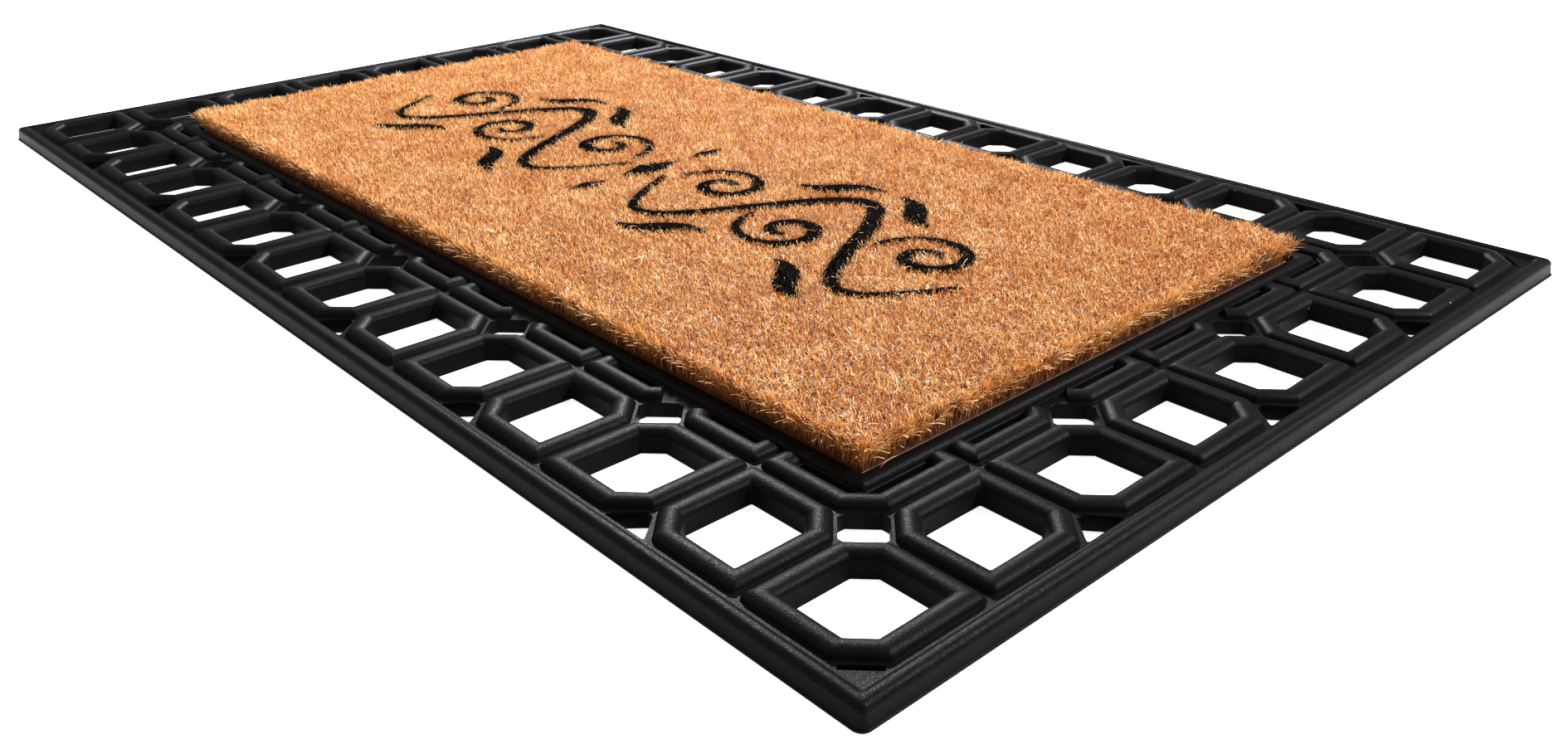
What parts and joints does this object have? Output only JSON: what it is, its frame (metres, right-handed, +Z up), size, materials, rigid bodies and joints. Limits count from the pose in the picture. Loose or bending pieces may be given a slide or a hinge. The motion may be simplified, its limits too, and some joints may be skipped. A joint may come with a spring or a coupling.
{
  "type": "door mat",
  "caption": "Rectangular door mat: black rubber frame with an open lattice border around a raised coir pile with an inlaid scroll ornament, flat underside.",
  "frame": {"origin": "centre of the underside, on the surface that the mat lies on", "axes": "+X along the length, +Y across the mat from its front edge to its back edge, +Z up"},
  "size_m": [0.991, 0.61, 0.0245],
  "materials": {
    "rubber": "moulded black rubber, satin, with a fine mould texture",
    "adhesive": "cured contact adhesive",
    "vinyl": "cast vinyl backing sheet",
    "natural_coir": "brushed natural coconut fibre pile",
    "black_coir": "black dyed coconut fibre pile"
  },
  "bodies": {
    "root": {"rubber_frame": "rubber", "adhesive_layer": "adhesive", "vinyl_backing": "vinyl", "coir_pile": "natural_coir", "inlay_wave_left": "black_coir", "inlay_wave_right": "black_coir", "inlay_curl_inner_left": "black_coir", "inlay_curl_inner_right": "black_coir", "inlay_curl_middle_left": "black_coir", "inlay_curl_middle_right": "black_coir", "inlay_curl_outer_left": "black_coir", "inlay_curl_outer_right": "black_coir", "inlay_leaf_inner_left": "black_coir", "inlay_leaf_inner_right": "black_coir", "inlay_leaf_middle_near_left": "black_coir", "inlay_leaf_middle_near_right": "black_coir", "inlay_leaf_middle_far_left": "black_coir", "inlay_leaf_middle_far_right": "black_coir", "inlay_leaf_outer_left": "black_coir", "inlay_leaf_outer_right": "black_coir", "inlay_lozenge": "black_coir", "inlay_drop_back": "black_coir", "inlay_drop_front": "black_coir"}
  },
  "joints": []
}
